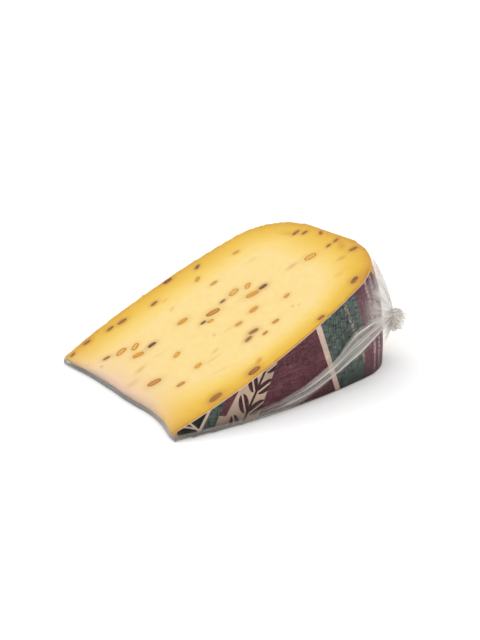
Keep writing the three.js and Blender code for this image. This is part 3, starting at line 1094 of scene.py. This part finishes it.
def stretch_film():
    # Polyethylene stretch film: clear and glossy where it is taut, whiter where it is gathered
    # in several layers or seen edge on.
    material, tree = new_material("polyethylene_stretch_film")
    crease_and_painted_light = add(tree, "ShaderNodeAttribute", attribute_name="crease_and_painted_light", out="Fac")
    # Thin streaks that follow the folds.
    across = add(tree, "ShaderNodeAttribute", attribute_name="strand", out="Fac")
    along = add(tree, "ShaderNodeAttribute", attribute_name="reach", out="Fac")
    fold = add(tree, "ShaderNodeCombineXYZ", {0: across, 1: along})
    streaks = add(tree, "ShaderNodeTexNoise", {"Vector": fold, "Scale": 1, "Detail": 2})
    streaks = add(
        tree,
        "ShaderNodeMapRange",
        {"Value": streaks, "From Min": 0.3, "From Max": 0.7, "To Min": 0.6, "To Max": 1.35},
    )
    crease_and_painted_light = add(tree, "ShaderNodeMath", {0: crease_and_painted_light, 1: streaks}, operation="MULTIPLY")
    edge_on = add(tree, "ShaderNodeLayerWeight", {"Blend": 0.25}, out="Facing")
    edge_on = add(tree, "ShaderNodeMath", {0: edge_on, 1: 4}, operation="POWER")
    alpha = add(
        tree, "ShaderNodeMath", {0: edge_on, 1: 0.2, 2: crease_and_painted_light}, operation="MULTIPLY_ADD"
    )
    alpha = add(tree, "ShaderNodeMath", {0: alpha, 1: 0.012}, operation="ADD", use_clamp=True)
    # Painted shadow: where the film hangs under the lifted tip its colour turns dark grey.
    painted_gap_shadow = add(tree, "ShaderNodeAttribute", attribute_name="painted_gap_shadow", out="Fac")
    colour = add(
        tree,
        "ShaderNodeMix",
        {0: painted_gap_shadow, 6: linear("#D8D1C8"), 7: linear("#5C5A5A")},
        out=2,
        data_type="RGBA",
    )
    surface = add(
        tree,
        "ShaderNodeBsdfPrincipled",
        {
            "Base Color": colour,
            "Roughness": 0.13,
            "IOR": 1.5,
            "Specular IOR Level": 0.9,
            "Alpha": alpha,
            "Normal": add(
                tree, "ShaderNodeBump", {"Height": streaks, "Strength": 0.08, "Distance": 0.3 * MM}
            ),
        },
    )
    add(tree, "ShaderNodeOutputMaterial", {"Surface": surface})
    return material


def face_width(radius):
    """The wheel's half width at a radius."""
    outline = half_outline()
    return float(np.interp(radius, [p.x for p in outline], [p.y for p in outline]))


def along_points(points, share):
    """A place between evenly numbered points, in metres."""
    spot = share * (len(points) - 1)
    i = min(int(spot), len(points) - 2)
    return Vector(points[i]).lerp(Vector(points[i + 1]), spot - i) * MM


def smooth_step(value):
    """Eases from 0 to 1."""
    value = min(max(value, 0), 1)
    return value * value * (3 - 2 * value)


def gathered_band(bm, crease_and_painted_light, strand, reach):
    """The film drawn together in long folds from the tuft down over the label."""
    made = bmesh.ops.create_grid(bm, x_segments=110, y_segments=56, size=1)
    neck = ROOT + PULL * (TENT_HEIGHT + 0.5 * MM)
    for v in made["verts"]:
        run, across = (v.co.x + 1) / 2, (v.co.y + 1) / 2
        painted_foot_shade, top = along_points(BAND_FOOT, run), along_points(BAND_TOP, run)
        shift = 0.12 * noise.noise(Vector((run * 3, across * 2, 5)))
        flat = painted_foot_shade.lerp(top, min(max(across + shift * across * (1 - across) * 4, 0), 1))
        radius = flat.length
        spread = smooth_step((run - 0.02) / 0.25)
        # Three broad folds and seven fine ones, which wander and sink as they run on.
        bunch = math.cos(2 * math.pi * (3.1 * across + 0.35 * math.sin(4 * run + 1.3 * across)))
        fine = math.cos(2 * math.pi * (7 * across + 0.6 * math.sin(7 * run)))
        fold = 0.75 * (0.5 + 0.5 * bunch) ** 2 + 0.2 * (0.5 + 0.5 * fine) ** 3
        height = (0.5 + 1.7 * fold * (1 - 0.7 * run)) * MM
        skin = Vector((flat.x, -face_width(radius) - FILM_GAP_OVER_LABEL - height, flat.y))
        # The band fans out of the tuft's neck and then lies on the label.
        v.co = neck.lerp(skin, spread)
        v.co += PULL * fold * 0.8 * MM * (1 - spread)
        ends = min(1, (1 - run) / 0.2) * min(1, 6 * across, 6 * (1 - across) + 0.3)
        v[crease_and_painted_light] = (0.38 + 0.55 * fold**2) * ends * (1.12 - 0.5 * run) + 0.2 * (1 - spread)
        v[strand], v[reach] = 14 * across, 3 * run


def ruffle(bm, crease_and_painted_light, strand, reach, length, flare, folds, phase):
    """One ragged layer of the tuft."""
    made = bmesh.ops.create_grid(bm, x_segments=150, y_segments=16, size=1)
    drooping = (PULL + Vector((0, 0, -TUFT_DROOP))).normalized()
    side = drooping.orthogonal().normalized()
    other = drooping.cross(side)
    neck = ROOT + PULL * (TENT_HEIGHT - 2.5 * MM)
    for v in made["verts"]:
        # It opens like a frill from the neck, with a ragged and crumpled edge.
        turn, share = (v.co.x + 1) * math.pi, (v.co.y + 1) / 2
        around = Vector((math.cos(turn), math.sin(turn), phase))
        rag = 1 + 0.28 * noise.noise(around * 2.4) + 0.2 * noise.noise(around * 9)
        wave = math.sin(folds * turn + phase) + 0.5 * math.sin((2 * folds + 1) * turn + 2 * phase)
        crumple = noise.noise(Vector((turn * 2.2, share * 5, phase)))
        fan = 2.4 * share * (1.35 - share)
        width = NECK_RADIUS + flare * fan * (1 + 0.16 * wave * share + 0.3 * crumple)
        rise = length * share * rag + 0.4 * MM * wave * share**2
        swirl = turn + 0.25 * crumple * share
        sideways = side * math.cos(swirl) + other * math.sin(swirl)
        v.co = neck + drooping * rise + sideways * width
        v[crease_and_painted_light] = 0.36 + 0.2 * abs(wave) * share + 0.12 * share**3
        v[strand], v[reach] = 4 * turn, share


def make_film():
    bm = slice_of_wheel(FILM_GAP, FILM_GAP_OVER_LABEL, FILM_GAP)
    bm = evenly_meshed(bm, "film", FILM_MESH, 1)
    wear_tip(bm, FILM_GAP, FILM_TIP_LIFT)
    bm.normal_update()
    crease_and_painted_light = bm.verts.layers.float.new("crease_and_painted_light")
    painted_gap_shadow = bm.verts.layers.float.new("painted_gap_shadow")
    strand = bm.verts.layers.float.new("strand")
    reach = bm.verts.layers.float.new("reach")
    side = PULL.orthogonal().normalized()
    other = PULL.cross(side)
    for v in bm.verts:
        # The tent is the film drawn up towards the tuft, with folds that run into it.
        offset = v.co - ROOT
        upwards = smooth_step((offset.normalized().z + 0.35) / 0.9)
        tent = TENT_REACH_DOWN + (TENT_REACH_UP - TENT_REACH_DOWN) * upwards
        share = max(0, 1 - offset.length / tent)
        turn = math.atan2(offset.dot(other), offset.dot(side))
        folds = 0.5 + 0.5 * math.cos(TENT_FOLDS * turn + 1.6 * noise.noise(v.co * 30))
        v[strand], v[reach] = 9 * turn, offset.length / (12 * MM)
        outside = smooth_step((v.normal.dot(PULL) + 0.1) / 0.5)
        v.co += PULL * TENT_HEIGHT * share**1.15 * outside
        v.co += v.normal * TENT_FOLD_HEIGHT * folds * share * (1 - share) * 4 * outside
        v.co += v.normal * FILM_WAVE * noise.noise(v.co * 70)
        # Painted highlight: the film is whiter and more opaque in a thin line along the worn tip's
        # edge.
        worn = TIP_SET_BACK + worn_back(v.co.y)
        tip_edge_highlight = math.exp(-((max(0, v.co.x - worn) / TIP_HIGHLIGHT_WIDTH) ** 2))
        # The film is whiter where it gathers into the tent and its folds; this also paints in the
        # glare on the film there.
        v[crease_and_painted_light] = outside * (0.46 * smooth_step(share * 2.6) + 0.35 * folds**3 * share**0.6)
        v[crease_and_painted_light] += 0.1 * tip_edge_highlight
        # Under the lifted tip the film goes on down to the table and is seen edge on; there it is
        # painted dark grey and made more opaque, as painted shadow of the gap under the tip.
        gap = TIP_LIFT * max(0, 1 - max(v.co.x, 0) / (1.6 * TIP_LIFT_LENGTH)) ** 2 + 0.6 * MM
        below = smooth_step((gap - AXIS_HEIGHT - v.co.z) / (0.8 * MM) + 0.5)
        upright = smooth_step((0.9 - abs(v.normal.z)) / 0.3)
        v[painted_gap_shadow] = below * upright * smooth_step(1.6 - v.co.x / TIP_LIFT_LENGTH)
        v[crease_and_painted_light] += (0.6 + 0.3 * smooth_step(v.co.x / (20 * MM))) * v[painted_gap_shadow]
        v.co.z = max(v.co.z, TABLE_CLEARANCE - AXIS.z)
    gathered_band(bm, crease_and_painted_light, strand, reach)
    for layer in RUFFLES:
        ruffle(bm, crease_and_painted_light, strand, reach, *layer)
    bmesh.ops.remove_doubles(bm, verts=bm.verts, dist=1e-6)
    bmesh.ops.transform(bm, matrix=PLACE, verts=bm.verts)
    piece = mesh_piece(bm, "stretch_film_wrap", [stretch_film()], smooth=True)
    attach(piece, "root")
    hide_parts("cling_film")


studio()
make_cheese()
make_seeds()
make_label()
make_film()
